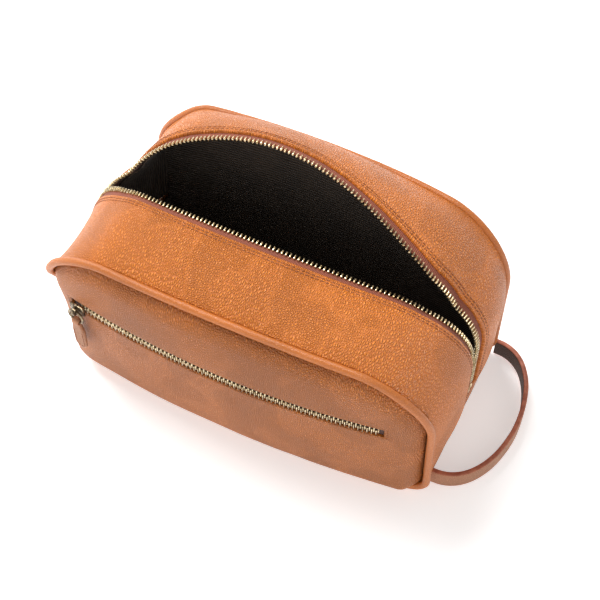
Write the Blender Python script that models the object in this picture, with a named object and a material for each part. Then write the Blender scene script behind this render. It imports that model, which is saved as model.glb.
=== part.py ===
"""Leather shaving kit bag, standing open: a boxy zip-top bag with a front zip pocket.

Metres, +Z up. The origin is the centre of the base's underside. +X points to the end
that carries the wrist strap, and -Y to the front, where the pocket is.
"""

from math import asin, atan, cos, pi, radians, sin, sqrt

import bmesh
import bpy
from mathutils import Matrix, Vector

# Driving dimensions
HALF_LENGTH = 0.124
HEIGHT = 0.1275
HALF_DEPTH = 0.056
TOP_RADIUS = 0.046
BASE_RADIUS = 0.014
FRONT_LEAN = 0.0092
FRONT_SAGITTA = 0.0138
FRONT_ARC = (HALF_LENGTH**2 + FRONT_SAGITTA**2) / (2 * FRONT_SAGITTA)
BACK_BOW = 0.0127
END_RADIUS = 0.016
END_BULGE = 0.003
SEAM_Z = 0.038
POCKET_Z = 0.0825
FRONT_PUFF = 0.005
PUFF_EDGE = 0.010

# Slumped corners: the front's lower -X end curls back, the back's +X end is drawn in, and
# the back half of the -X end is pushed towards the middle
CURL_X = 0.098
CURL_DEPTH = 0.011
CURL_Z = (0.060, 0.100)
TUCK_X = 0.045
TUCK_DEPTH = 0.003
END_PUSH = 0.012
PUSH_X = (0.070, 0.115)
PUSH_Y = (-0.030, 0.050)

# Layers
LEATHER = 0.0020
FABRIC = 0.0008
TAPE = 0.0007
PLY_GAP = 0.0004
PIPING_RADIUS = 0.0025
PIPING_CLEAR = 0.0034
PIPING_LOW_Z = 0.0032

# Main zip: crown is how far each row of teeth stands above the piping loop, and bow is
# how far it lies from the closed line; each reach is where that crown or bow has died out
ROW_STAND = 0.003
ROW_CLOSED_Y = 0.0017
FRONT_CROWN = 0.0095
FRONT_CROWN_REACH = 0.095
FRONT_BOW = 0.015
FRONT_BOW_REACH = 0.128
FRONT_SETTLE = 0.0023
SETTLE_RISE = 0.043
BACK_CROWN = 0.0345
BACK_CROWN_REACH = 0.108
BACK_ROW_BOW = 0.0283
BACK_PEAK_X = -0.022
BACK_REACH_LEFT = 0.100
BACK_REACH_RIGHT = 0.117
GUSSET_SAG = 0.003
DIP_START = 0.36
DIP = 1.8
TEETH_HALF = 0.0014
TEETH_THICK = 0.0026
TAPE_SHOW = 0.0055
BAND_END = 0.998
TEETH_END = 0.955
FLAP_LEFT = -0.070
FLAP_RIGHT = 0.045
SPLIT_GAP = 0.0004
CUT_PLANES = {
    "left": (None, FLAP_LEFT - SPLIT_GAP / 2),
    "flap": (FLAP_LEFT + SPLIT_GAP / 2, FLAP_RIGHT - SPLIT_GAP / 2),
    "right": (FLAP_RIGHT + SPLIT_GAP / 2, None),
}

# Pocket zip
POCKET_LEFT = -0.104
POCKET_RIGHT = 0.099
SLOT_HALF = 0.0054
CHAIN_HALF = 0.0038
POCKET_SLIDER_X = -0.098

# Zip sliders and pulls
MAIN_SLIDER_Z = 0.048
PLATE_STAND = 0.0009
PLATE_THICK = 0.0018
EYE_STAND = 0.0016
EYE_INNER = 0.0013
EYE_OUTER = 0.0026
RING_RADIUS = 0.0052
RING_WIRE = 0.0009
TAB_WIDTH = 0.009
TAB_THICK = 0.0026
TAB_LENGTH = 0.027

# Wrist strap
STRAP_HEIGHT = 0.014
STRAP_THICK = 0.003
STRAP_Z = 0.0006
STRAP_REACH = 0.033
STRAP_HALF = 0.051
STRAP_Y = 0.004
STRAP_START_X = HALF_LENGTH + 0.0009
STRAP_ROUNDNESS = 0.9
STRAP_SKEW = 0.0022
STRAP_HINGE_X = 0.134
STRAP_CUT = 0.0024

COLOURS = {
    "leather": ((0.52, 0.19, 0.055), 0.5, 0.0),
    "piping": ((0.50, 0.18, 0.05), 0.5, 0.0),
    "strap": ((0.42, 0.17, 0.08), 0.55, 0.0),
    "lining": ((0.035, 0.025, 0.018), 0.9, 0.0),
    "tape": ((0.20, 0.06, 0.03), 0.85, 0.0),
    "brass": ((0.42, 0.30, 0.14), 0.35, 1.0),
    "board": ((0.30, 0.26, 0.20), 0.9, 0.0),
}


def clear_scene():
    for old in list(bpy.data.objects):
        bpy.data.objects.remove(old, do_unlink=True)


def material(name, kind):
    colour, roughness, metallic = COLOURS[kind]
    made = bpy.data.materials.new(name)
    made.use_nodes = True
    shader = made.node_tree.nodes["Principled BSDF"]
    shader.inputs["Base Color"].default_value = (*colour, 1.0)
    shader.inputs["Roughness"].default_value = roughness
    shader.inputs["Metallic"].default_value = metallic
    return made


def add_object(name, shape, kind, sharp=40.0):
    """Link a bmesh as a named object with its own material."""
    bmesh.ops.recalc_face_normals(shape, faces=shape.faces)
    mesh = bpy.data.meshes.new(name)
    shape.to_mesh(mesh)
    shape.free()
    mesh.shade_smooth()
    mesh.set_sharp_from_angle(angle=radians(sharp))
    thing = bpy.data.objects.new(name, mesh)
    mesh.materials.append(material(name, kind))
    bpy.context.scene.collection.objects.link(thing)
    return thing


def add_cutter(name, shape):
    cutter = add_object(name, shape, "board")
    cutter.hide_render = True
    cutter.display_type = "WIRE"
    return cutter


def boolean(target, other, operation):
    step = target.modifiers.new(operation.title(), "BOOLEAN")
    step.operation = operation
    step.solver = "EXACT"
    step.object = other


# The bag's outer shape


def smooth(value, low, high):
    part = min(1.0, max(0.0, (value - low) / (high - low)))
    return part * part * (3 - 2 * part)


def pushed(x, y, z):
    """Where the slump of the -X end puts a point of the plain shape."""
    return Vector((x + END_PUSH * smooth(-x, *PUSH_X) * smooth(y, *PUSH_Y), y, z))


def end_turn():
    """How far the pushed -X end is turned about Z where the zip runs down it."""
    return atan((pushed(-HALF_LENGTH, 0.001, 0.0).x - pushed(-HALF_LENGTH, -0.001, 0.0).x) / 0.002)


def sagitta(x):
    """Bulge of the front along X: an arc, so that the pocket slider runs on a circle."""
    return sqrt(FRONT_ARC**2 - x**2) - sqrt(FRONT_ARC**2 - HALF_LENGTH**2)


def front_y(x, z):
    fullness = 1 - 0.45 * ((POCKET_Z - z) / POCKET_Z) ** 2
    if z > POCKET_Z:
        fullness = 1 - 0.70 * ((z - POCKET_Z) / (HEIGHT - POCKET_Z)) ** 2
    curl = CURL_DEPTH * (max(0.0, -x - CURL_X) / (HALF_LENGTH - CURL_X)) ** 2 * (1 - smooth(z, *CURL_Z))
    return -HALF_DEPTH - FRONT_LEAN * z / HEIGHT - sagitta(x) * fullness + curl


def back_y(x, z):
    fullness = 0.45 + 0.55 * z / HEIGHT
    tuck = TUCK_DEPTH * (max(0.0, x - TUCK_X) / (HALF_LENGTH - TUCK_X)) ** 2
    return HALF_DEPTH + BACK_BOW * (1 - (x / HALF_LENGTH) ** 2) * fullness - tuck


def wall_y(side, x, z):
    return front_y(x, z) if side < 0 else back_y(x, z)


def inside_piping(x, z):
    """How far a point of the front panel lies inside the panel's sewn edge."""
    low, high = PIPING_LOW_Z + PIPING_CLEAR, HEIGHT - PIPING_CLEAR
    radius = (TOP_RADIUS if z > HEIGHT / 2 else BASE_RADIUS) - PIPING_CLEAR
    over_x = abs(x) - (HALF_LENGTH - PIPING_CLEAR - radius)
    over_z = abs(z - (low + high) / 2) - ((high - low) / 2 - radius)
    corner = sqrt(max(over_x, 0.0) ** 2 + max(over_z, 0.0) ** 2)
    return max(0.0, radius - corner - min(max(over_x, over_z), 0.0))


def panel_y(side, x, z):
    """Face of the front or back panel: the front one is padded and stands out like a pillow."""
    if side > 0:
        return back_y(x, z)
    return front_y(x, z) - FRONT_PUFF * sin(pi / 2 * min(1.0, inside_piping(x, z) / PUFF_EDGE))


def band_path(s):
    """Point and outward direction on the upper outline; s is 0 at the top, 1 at the +X seam."""
    top = HALF_LENGTH - TOP_RADIUS
    bend = TOP_RADIUS * pi / 2
    drop = HEIGHT - TOP_RADIUS - SEAM_Z
    run = abs(s) * (top + bend + drop)
    way = 1 if s >= 0 else -1
    if run < top:
        return way * run, HEIGHT, 0.0, 1.0
    if run < top + bend:
        turn = (run - top) / TOP_RADIUS
        x = top + TOP_RADIUS * sin(turn)
        return way * x, HEIGHT - TOP_RADIUS * (1 - cos(turn)), way * sin(turn), cos(turn)
    return way * HALF_LENGTH, HEIGHT - TOP_RADIUS - (run - top - bend), float(way), 0.0


def path_fraction(x):
    """The value of s where the upper outline's flat top reaches x."""
    return x / (HALF_LENGTH - TOP_RADIUS + TOP_RADIUS * pi / 2 + HEIGHT - TOP_RADIUS - SEAM_Z)


def row_y(side, x, z):
    """Depth of the open zip's rows: both bow away from the middle, the back one further."""
    if side < 0:
        settle = min(1.0, max(0.0, (z - SEAM_Z) / SETTLE_RISE))
        swell = max(0.0, 1 - (x / FRONT_BOW_REACH) ** 2) ** 0.8
        return -ROW_CLOSED_Y - FRONT_SETTLE * settle - FRONT_BOW * swell
    reach = BACK_REACH_RIGHT if x > BACK_PEAK_X else BACK_REACH_LEFT
    swell = max(0.0, 1 - ((x - BACK_PEAK_X) / reach) ** 2) ** 1.3
    return ROW_CLOSED_Y + BACK_ROW_BOW * swell


def row_point(side, s):
    x, z, out_x, out_z = band_path(s)
    crown, reach = BACK_CROWN, BACK_CROWN_REACH
    if side < 0:
        crown, reach = FRONT_CROWN, FRONT_CROWN_REACH
    stand = ROW_STAND + crown * max(0.0, 1 - (x / reach) ** 2)
    px, pz = x + out_x * stand, z + out_z * stand
    return pushed(px, row_y(side, px, pz), pz)


def piping_point(side, s):
    x, z, _, _ = band_path(s)
    return pushed(x, wall_y(side, x, z), z)


def gusset_length(side, s):
    return (row_point(side, s) - piping_point(side, s)).length


def gusset_point(side, s, reach):
    """Point on the gusset's outer skin, reach metres from the piping towards the teeth."""
    start = piping_point(side, s)
    chord = row_point(side, s) - start
    along = piping_point(side, s + 0.002) - piping_point(side, s - 0.002)
    out = along.cross(chord).normalized()
    _, _, out_x, out_z = band_path(s)
    if out.dot(Vector((out_x, 0.0, out_z))) < 0:
        out.negate()
    part = reach / chord.length
    sag = GUSSET_SAG * (1 + max(0.0, cos(pi * s / 2)))
    sag *= 1 - DIP * sin(pi * max(0.0, -s - DIP_START) / (1 - DIP_START)) ** 2
    return start + chord * part + out * (4 * sag * part * (1 - part))


# Mesh builders


def skin_normal(skin, u, v):
    step = 0.002
    along = skin(min(1.0, u + step), v) - skin(max(0.0, u - step), v)
    across = skin(u, min(1.0, v + step)) - skin(u, max(0.0, v - step))
    return along.cross(across).normalized()


def sheet(name, skin, inward, depth, thickness, columns, rows, kind, end_x=(None, None)):
    """Closed solid between two offsets of skin(u, v); inward points roughly to the inside.

    Where end_x gives an X, the first or last column is cut to that plane.
    """
    shape = bmesh.new()
    cut = {0: end_x[0], columns: end_x[1]}
    layers = []
    for offset in (depth, depth + thickness):
        grid = []
        for i in range(columns + 1):
            line = []
            for j in range(rows + 1):
                u, v = i / columns, j / rows
                point = skin(u, v)
                normal = skin_normal(skin, u, v)
                if normal.dot(inward(point)) < 0:
                    normal.negate()
                place = point + normal * offset
                if cut.get(i) is not None:
                    place.x = cut[i]
                line.append(shape.verts.new(place))
            grid.append(line)
        layers.append(grid)
    outer, inner = layers
    for i in range(columns):
        for j in range(rows):
            shape.faces.new((outer[i][j], outer[i + 1][j], outer[i + 1][j + 1], outer[i][j + 1]))
            shape.faces.new((inner[i][j + 1], inner[i + 1][j + 1], inner[i + 1][j], inner[i][j]))
    for i in range(columns):
        for j in (0, rows):
            shape.faces.new((outer[i][j], inner[i][j], inner[i + 1][j], outer[i + 1][j]))
    for j in range(rows):
        for i in (0, columns):
            shape.faces.new((outer[i][j + 1], inner[i][j + 1], inner[i][j], outer[i][j]))
    return add_object(name, shape, kind)


def extrude_outline(outline, low, high, axis):
    """Prism of a closed 2-D outline; the outline lies in the two axes other than axis."""
    shape = bmesh.new()
    rings = []
    for level in (low, high):
        ring = []
        for a, b in outline:
            place = [a, b]
            place.insert(axis, level)
            ring.append(shape.verts.new(place))
        rings.append(ring)
    count = len(outline)
    shape.faces.new(rings[0])
    shape.faces.new(list(reversed(rings[1])))
    for i in range(count):
        j = (i + 1) % count
        shape.faces.new((rings[0][i], rings[1][i], rings[1][j], rings[0][j]))
    return shape


def tube_along_x(outer, inner, width, centre_y, sides=16):
    """Short pipe with its axis along X."""
    shape = bmesh.new()
    rings = []
    for x, radius in ((-width / 2, inner), (-width / 2, outer), (width / 2, outer), (width / 2, inner)):
        ring = []
        for i in range(sides):
            turn = 2 * pi * i / sides
            ring.append(shape.verts.new((x, centre_y + radius * cos(turn), radius * sin(turn))))
        rings.append(ring)
    for k in range(4):
        for i in range(sides):
            j = (i + 1) % sides
            after = rings[(k + 1) % 4]
            shape.faces.new((rings[k][i], rings[k][j], after[j], after[i]))
    return shape


def to_middle(point):
    """Direction from a skin point to the bag's inside, for the gusset and base bands."""
    centre_x = max(-0.07, min(0.07, point.x))
    return Vector((centre_x - point.x, 0.0, 0.055 - point.z))


# Leather body


def outline_loop():
    """Closed rounded outline of the front and back panels, in X and Z, with its outward turn."""
    low = PIPING_LOW_Z
    corners = (
        (HALF_LENGTH - BASE_RADIUS, low + BASE_RADIUS, BASE_RADIUS, -pi / 2, 5),
        (HALF_LENGTH - TOP_RADIUS, HEIGHT - TOP_RADIUS, TOP_RADIUS, 0.0, 9),
        (TOP_RADIUS - HALF_LENGTH, HEIGHT - TOP_RADIUS, TOP_RADIUS, pi / 2, 9),
        (BASE_RADIUS - HALF_LENGTH, low + BASE_RADIUS, BASE_RADIUS, pi, 5),
    )
    bends = []
    for x, z, radius, start, steps in corners:
        bend = []
        for i in range(steps + 1):
            turn = start + i * pi / 2 / steps
            bend.append((x + radius * cos(turn), z + radius * sin(turn), turn))
        bends.append(bend)
    fill = (3, 9, 3, 11)
    loop = []
    for k, bend in enumerate(bends):
        loop += bend
        after = bends[(k + 1) % 4][0]
        for i in range(1, fill[k]):
            part = i / fill[k]
            x = bend[-1][0] + (after[0] - bend[-1][0]) * part
            z = bend[-1][1] + (after[1] - bend[-1][1]) * part
            loop.append((x, z, bend[-1][2]))
    return loop


def piping(name, side, sides=8):
    shape = bmesh.new()
    rings = []
    for x, z, turn in outline_loop():
        centre = pushed(x, wall_y(side, x, z), z)
        ring = []
        for i in range(sides):
            roll = 2 * pi * i / sides
            out = Vector((cos(turn) * cos(roll), sin(roll), sin(turn) * cos(roll)))
            ring.append(shape.verts.new(centre + out * PIPING_RADIUS))
        rings.append(ring)
    for k, ring in enumerate(rings):
        after = rings[(k + 1) % len(rings)]
        for i in range(sides):
            j = (i + 1) % sides
            shape.faces.new((ring[i], ring[j], after[j], after[i]))
    add_object(name, shape, "piping", sharp=80.0)


def panel_skin(side, inset):
    """Front or back panel, inset metres inside the piping's centre line."""
    half = HALF_LENGTH - inset
    top_radius = TOP_RADIUS - inset
    base_radius = max(0.004, BASE_RADIUS - inset)

    def skin(u, v):
        x = half * sin(pi / 2 * (2 * u - 1))
        low = PIPING_LOW_Z + inset
        high = HEIGHT - inset
        into_base = max(0.0, abs(x) - (half - base_radius))
        into_top = max(0.0, abs(x) - (half - top_radius))
        low += base_radius - sqrt(max(0.0, base_radius**2 - into_base**2))
        high -= top_radius - sqrt(max(0.0, top_radius**2 - into_top**2))
        z = low + (high - low) * (0.5 - 0.5 * cos(pi * v))
        return pushed(x, panel_y(side, x, z), z)

    return skin


def to_centre(side):
    return lambda point: Vector((0.0, -side, 0.0))


def front_panel():
    skin = panel_skin(-1, PIPING_CLEAR)
    panel = sheet("front_panel", skin, to_centre(-1), 0.0, LEATHER, 22, 12, "leather")
    outline = [(POCKET_LEFT, POCKET_Z - SLOT_HALF), (POCKET_RIGHT, POCKET_Z - SLOT_HALF)]
    outline += [(POCKET_RIGHT, POCKET_Z + SLOT_HALF), (POCKET_LEFT, POCKET_Z + SLOT_HALF)]
    cutter = add_cutter("pocket_slot_cutter", extrude_outline(outline, -0.095, -0.050, 1))
    boolean(panel, cutter, "DIFFERENCE")


def base_skin(inset, depth_clear):
    """U-shaped band: up the -X end to the seam, across the base, and up the +X end."""
    radius = END_RADIUS
    rise = SEAM_Z - inset - radius
    bend = radius * pi / 2
    flat = HALF_LENGTH - radius
    total = 2 * (rise + bend + flat)

    def skin(u, v):
        run = (u - 0.5) * total
        way = 1 if run >= 0 else -1
        run = abs(run)
        if run < flat:
            x, z, side_on = run, 0.0, 0.0
        elif run < flat + bend:
            turn = (run - flat) / radius
            x, z, side_on = flat + radius * sin(turn), radius * (1 - cos(turn)), sin(turn)
        else:
            x, z, side_on = HALF_LENGTH, radius + run - flat - bend, 1.0
        slant = (front_y(way * x + 0.001, z) - front_y(way * x - 0.001, z)) / 0.002
        front = front_y(way * x, z) + depth_clear * sqrt(1 + slant**2 * (1 - side_on**2))
        back = back_y(way * x, z) - depth_clear
        y = front + (back - front) * v
        x += END_BULGE * side_on * max(0.0, 1 - (y / HALF_DEPTH) ** 2) * z / SEAM_Z
        return pushed(way * x, y, z)

    return skin


def leather_body():
    front_panel()
    sheet("back_panel", panel_skin(1, PIPING_CLEAR), to_centre(1), 0.0, LEATHER, 24, 10, "leather")
    piping("front_piping", -1)
    piping("back_piping", 1)
    sheet("base_band", base_skin(0.0, PIPING_CLEAR), to_middle, 0.0, LEATHER, 46, 6, "leather")


def base_board():
    half_x, half_y = 0.094, 0.046
    outline = [(-half_x, -half_y), (half_x, -half_y), (half_x, half_y), (-half_x, half_y)]
    low = LEATHER + PLY_GAP
    add_object("base_board", extrude_outline(outline, low, low + 0.0016, 2), "board")


def gusset_strip(name, side, stretch, low, margins, depth, thickness, rows, kind):
    """One strip of the zip band; margins(length) gives its edges as reaches from the piping."""
    ends = stretch_ends(stretch, low)
    columns = max(10, round(abs(ends[1] - ends[0]) * 26))

    def skin(u, v):
        s = ends[0] + (ends[1] - ends[0]) * u
        near, far = margins(gusset_length(side, s))
        return gusset_point(side, s, near + (far - near) * v)

    return sheet(name, skin, to_middle, depth, thickness, columns, rows, kind, CUT_PLANES[stretch])


def stretch_ends(stretch, low):
    """Range of s for each stretch: the flap in the middle moves, the two ends don't."""
    left, right = path_fraction(FLAP_LEFT), path_fraction(FLAP_RIGHT)
    gap = path_fraction(SPLIT_GAP)
    return {"left": (-low, left - gap), "flap": (left, right), "right": (right + gap, low)}[stretch]


def zip_band():
    """Both halves of the zip band: leather, tape, teeth and lining, in three stretches each."""
    under = LEATHER + PLY_GAP
    for side, half in ((-1, "front"), (1, "back")):
        for stretch in CUT_PLANES:
            gusset_strip(f"gusset_{half}_{stretch}", side, stretch, BAND_END,
                         lambda length: (PIPING_CLEAR, length - TAPE_SHOW),
                         0.0, LEATHER, 5, "leather")
            gusset_strip(f"zip_tape_{half}_{stretch}", side, stretch, BAND_END,
                         lambda length: (length - 0.013, length - TEETH_HALF - 0.0003),
                         under, TAPE, 2, "tape")
            gusset_strip(f"zip_teeth_{half}_{stretch}", side, stretch, TEETH_END,
                         lambda length: (length - TEETH_HALF, length + TEETH_HALF),
                         0.0005, TEETH_THICK, 1, "brass")
            gusset_strip(f"lining_{half}_{stretch}", side, stretch, BAND_END,
                         lambda length: (0.009, length - 0.009),
                         under + TAPE + PLY_GAP, FABRIC, 4, "lining")


def lining_body():
    front_depth = LEATHER + TAPE + FABRIC + 5 * PLY_GAP
    sheet("lining_front", panel_skin(-1, 0.008), to_centre(-1), front_depth, FABRIC, 18, 10, "lining")
    back_depth = LEATHER + 3 * PLY_GAP
    sheet("lining_back", panel_skin(1, 0.008), to_centre(1), back_depth, FABRIC, 20, 10, "lining")
    base_depth = LEATHER + 2 * PLY_GAP + 0.0016
    sheet("lining_base", base_skin(0.003, 0.009), to_middle, base_depth, FABRIC, 30, 4, "lining")


def block(name, centre, size, kind, turn=0.0):
    outline = [(-0.5, -0.5), (0.5, -0.5), (0.5, 0.5), (-0.5, 0.5)]
    shape = extrude_outline([(a * size[0], b * size[1]) for a, b in outline], -size[2] / 2, size[2] / 2, 2)
    bmesh.ops.bevel(shape, geom=shape.edges[:], offset=min(size) * 0.2, segments=1, affect="EDGES")
    thing = add_object(name, shape, kind, sharp=30.0)
    thing.location = centre
    thing.rotation_euler.z = turn


def zip_stops():
    """The slider starts at the bottom stop on the -X end; two top stops end the rows at +X."""
    end_x = HALF_LENGTH + ROW_STAND - 0.0018
    block("zip_bottom_stop", pushed(-end_x, 0.0, SEAM_Z + 0.0030), (0.0030, 0.0066, 0.0044), "brass",
          -end_turn())
    for side, half in ((-1, "front"), (1, "back")):
        centre = (end_x, side * 0.0019, SEAM_Z + 0.0030)
        block(f"zip_top_stop_{half}", centre, (0.0030, 0.0030, 0.0036), "brass")


# Sliders and pulls: local X is the eye's axis, local -Y points out of the bag, local Z is up


def slider(name, lengthwise):
    """Slider plate with a pull eye; lengthwise is the axis that the zip runs along (0 or 2)."""
    outline = [(-0.0052, -0.0026), (0.0010, -0.0042), (0.0052, -0.0042)]
    outline += [(0.0052, 0.0042), (0.0010, 0.0042), (-0.0052, 0.0026)]
    if lengthwise == 2:
        outline = [(b, a) for a, b in reversed(outline)]
    shape = extrude_outline(outline, -PLATE_STAND - PLATE_THICK, -PLATE_STAND, 1)
    body = add_object(name, shape, "brass", sharp=30.0)
    eye_y = -PLATE_STAND - PLATE_THICK - EYE_STAND
    eye = add_cutter(name + "_eye", tube_along_x(EYE_OUTER, EYE_INNER, 0.0026, eye_y))
    boolean(body, eye, "UNION")
    return body, eye


def pull_ring(name):
    bpy.ops.mesh.primitive_torus_add(
        major_segments=24, minor_segments=8, major_radius=RING_RADIUS, minor_radius=RING_WIRE)
    ring = bpy.context.object
    ring.name = name
    ring.data.name = name
    ring.data.transform(Matrix.Translation((0.0, 0.0, -RING_RADIUS)) @ Matrix.Rotation(pi / 2, 4, "X"))
    ring.data.materials.append(material(name, "brass"))
    ring.data.shade_smooth()
    return ring


def pull_tab(name):
    """Doubled leather tab: a narrow loop round the ring's wire, then a blade with a round end."""
    half = TAB_WIDTH / 2
    top = -0.0016
    low = top - TAB_LENGTH
    outline = [(-half, top), (-half, low + half)]
    for i in range(1, 8):
        turn = pi + i * pi / 8
        outline.append((half * cos(turn), low + half + half * sin(turn)))
    outline += [(half, low + half), (half, top)]
    shape = extrude_outline(outline, -TAB_THICK / 2, TAB_THICK / 2, 1)
    blade = add_object(name, shape, "strap", sharp=30.0)
    loop = add_cutter(name + "_loop", tube_along_x(0.0024, 0.00135, 0.0036, 0.0))
    boolean(blade, loop, "UNION")
    return blade, loop


def zip_pull(prefix, place, lengthwise):
    """Slider, ring and tab at place, a matrix that puts local axes in the world."""
    eye = Matrix.Translation((0.0, -PLATE_STAND - PLATE_THICK - EYE_STAND, 0.0))
    foot = Matrix.Translation((0.0, 0.0, -2 * RING_RADIUS))
    body, body_eye = slider(prefix + "_slider", lengthwise)
    tab, tab_loop = pull_tab(prefix + "_pull_tab")
    for thing in (body, body_eye):
        thing.matrix_world = place
    pull_ring(prefix + "_pull_ring").matrix_world = place @ eye
    for thing in (tab, tab_loop):
        thing.matrix_world = place @ eye @ foot


def main_pull():
    place = Matrix.Translation(pushed(-HALF_LENGTH - ROW_STAND, 0.0, MAIN_SLIDER_Z))
    zip_pull("main", place @ Matrix.Rotation(-pi / 2 - end_turn(), 4, "Z"), 2)


def pocket_strip(name, ends, half_height, drop, depth, thickness, columns, kind):
    """Strip along the pocket zip, following the front panel's bulge."""

    def skin(u, v):
        x = ends[0] + (ends[1] - ends[0]) * u
        z = POCKET_Z - drop + half_height * (2 * v - 1)
        return pushed(x, panel_y(-1, x, z), z)

    sheet(name, skin, to_centre(-1), depth, thickness, columns, 2, kind)


def pocket():
    under = LEATHER + PLY_GAP
    pocket_strip("pocket_chain", (POCKET_LEFT + 0.008, POCKET_RIGHT - 0.001), CHAIN_HALF, 0.0,
                 0.0002, 0.0018, 16, "brass")
    pocket_strip("pocket_tape", (POCKET_LEFT - 0.005, POCKET_RIGHT + 0.005), 0.011, 0.0,
                 under, TAPE, 16, "tape")
    pocket_strip("pocket_bag", (POCKET_LEFT, POCKET_RIGHT), 0.029, 0.029,
                 under + TAPE + 2 * PLY_GAP, FABRIC, 16, "lining")
    turn = asin(POCKET_SLIDER_X / FRONT_ARC)
    centre_y = panel_y(-1, 0.0, POCKET_Z) + FRONT_ARC
    place = Matrix.Translation((0.0, centre_y, POCKET_Z)) @ Matrix.Rotation(turn, 4, "Z")
    zip_pull("pocket", place @ Matrix.Translation((0.0, -FRONT_ARC, 0.0)), 0)


# Wrist strap


def strap_point(part):
    """Centre line of the strap in plan: part is 0 at the front anchor, 1 at the back one."""
    turn = pi * part
    x = STRAP_START_X + STRAP_SKEW * part + STRAP_REACH * sin(turn) ** STRAP_ROUNDNESS
    return Vector((x, STRAP_Y - STRAP_HALF * cos(turn), 0.0))


def strap_piece(name, ends, steps):
    shape = bmesh.new()
    rings = []
    for i in range(steps + 1):
        part = ends[0] + (ends[1] - ends[0]) * i / steps
        centre = strap_point(part)
        along = strap_point(min(1.0, part + 0.002)) - strap_point(max(0.0, part - 0.002))
        across = Vector((along.y, -along.x, 0.0)).normalized() * (STRAP_THICK / 2)
        ring = []
        for shift, z in ((-1, STRAP_Z), (1, STRAP_Z), (1, STRAP_Z + STRAP_HEIGHT), (-1, STRAP_Z + STRAP_HEIGHT)):
            point = centre + across * shift
            ring.append(shape.verts.new((point.x, point.y, z)))
        rings.append(ring)
    for k in range(steps):
        for i in range(4):
            j = (i + 1) % 4
            shape.faces.new((rings[k][i], rings[k][j], rings[k + 1][j], rings[k + 1][i]))
    shape.faces.new(rings[0])
    shape.faces.new(list(reversed(rings[-1])))
    add_object(name, shape, "strap", sharp=30.0)


def strap_part_at(x):
    """The fraction of the strap's half where its centre line reaches x."""
    rise = (x - STRAP_START_X) / STRAP_REACH
    return asin(rise ** (1 / STRAP_ROUNDNESS)) / pi


def wrist_strap():
    """Two sewn ends fixed to the bag, and the loop between them that swings up on them."""
    split = strap_part_at(STRAP_HINGE_X)
    strap_piece("strap_end_front", (0.0, split), 5)
    strap_piece("wrist_strap", (split + STRAP_CUT, 1 - split - STRAP_CUT), 32)
    strap_piece("strap_end_back", (1 - split, 1.0), 5)


def main():
    clear_scene()
    leather_body()
    base_board()
    zip_band()
    lining_body()
    zip_stops()
    main_pull()
    pocket()
    wrist_strap()


main()
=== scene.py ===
"""Looks of an open leather shaving kit bag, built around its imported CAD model.

Metres, +Z up, -Y is the front. The shape formulas are the CAD's own, drawn more finely.
"""

from math import asin, atan, cos, pi, radians, sin, sqrt

import bmesh
import bpy
import numpy as np
from mathutils import Matrix, Vector, noise


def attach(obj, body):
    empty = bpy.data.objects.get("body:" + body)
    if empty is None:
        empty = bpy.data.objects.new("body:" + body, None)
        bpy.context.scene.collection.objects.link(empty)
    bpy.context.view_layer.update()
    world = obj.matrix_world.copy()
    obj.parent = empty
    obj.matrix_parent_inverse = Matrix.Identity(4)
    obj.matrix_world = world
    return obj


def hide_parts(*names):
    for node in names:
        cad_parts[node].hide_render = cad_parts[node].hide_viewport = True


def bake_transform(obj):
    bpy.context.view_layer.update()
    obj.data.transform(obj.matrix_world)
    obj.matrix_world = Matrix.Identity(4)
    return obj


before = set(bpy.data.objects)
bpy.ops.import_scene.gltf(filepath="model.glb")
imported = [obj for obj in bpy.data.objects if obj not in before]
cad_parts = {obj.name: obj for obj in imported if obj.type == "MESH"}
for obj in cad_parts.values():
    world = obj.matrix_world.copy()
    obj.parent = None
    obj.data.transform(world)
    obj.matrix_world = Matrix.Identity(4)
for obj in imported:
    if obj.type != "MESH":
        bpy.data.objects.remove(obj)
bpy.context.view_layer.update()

# The bag's driving dimensions, as in the CAD
HALF_LENGTH = 0.124
HEIGHT = 0.1275
HALF_DEPTH = 0.056
TOP_RADIUS = 0.046
BASE_RADIUS = 0.014
FRONT_LEAN = 0.0092
FRONT_SAGITTA = 0.0138
FRONT_ARC = (HALF_LENGTH**2 + FRONT_SAGITTA**2) / (2 * FRONT_SAGITTA)
BACK_BOW = 0.0127
END_RADIUS = 0.016
END_BULGE = 0.003
SEAM_Z = 0.038
POCKET_Z = 0.0825
FRONT_PUFF = 0.005
PUFF_EDGE = 0.010
CURL_X = 0.098
CURL_DEPTH = 0.011
CURL_Z = (0.060, 0.100)
TUCK_X = 0.045
TUCK_DEPTH = 0.003
END_PUSH = 0.012
PUSH_X = (0.070, 0.115)
PUSH_Y = (-0.030, 0.050)
LEATHER = 0.0020
CLOTH = 0.0008
TAPE = 0.0007
PIPING_RADIUS = 0.0025
PIPING_CLEAR = 0.0034
PIPING_LOW_Z = 0.0032

# The two sides, with the sign of their Y, and a millimetre for small profiles
SIDES = ((-1, "front"), (1, "back"))
MM = 0.001

# The open zip's rows of teeth
ROW_STAND = 0.003
ROW_CLOSED_Y = 0.0017
FRONT_CROWN = 0.0095
FRONT_CROWN_REACH = 0.095
FRONT_BOW = 0.015
FRONT_BOW_REACH = 0.128
FRONT_SETTLE = 0.0023
SETTLE_RISE = 0.043
BACK_CROWN = 0.0345
BACK_CROWN_REACH = 0.108
BACK_ROW_BOW = 0.0283
BACK_PEAK_X = -0.022
BACK_REACH_LEFT = 0.100
BACK_REACH_RIGHT = 0.117
GUSSET_SAG = 0.003
DIP_START = 0.36
DIP = 1.8
TAPE_SHOW = 0.0055
BAND_END = 0.998
TEETH_END = 0.955
TOOTH_PITCH = 0.0026
TOOTH_DEPTH = 0.0017

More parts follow.
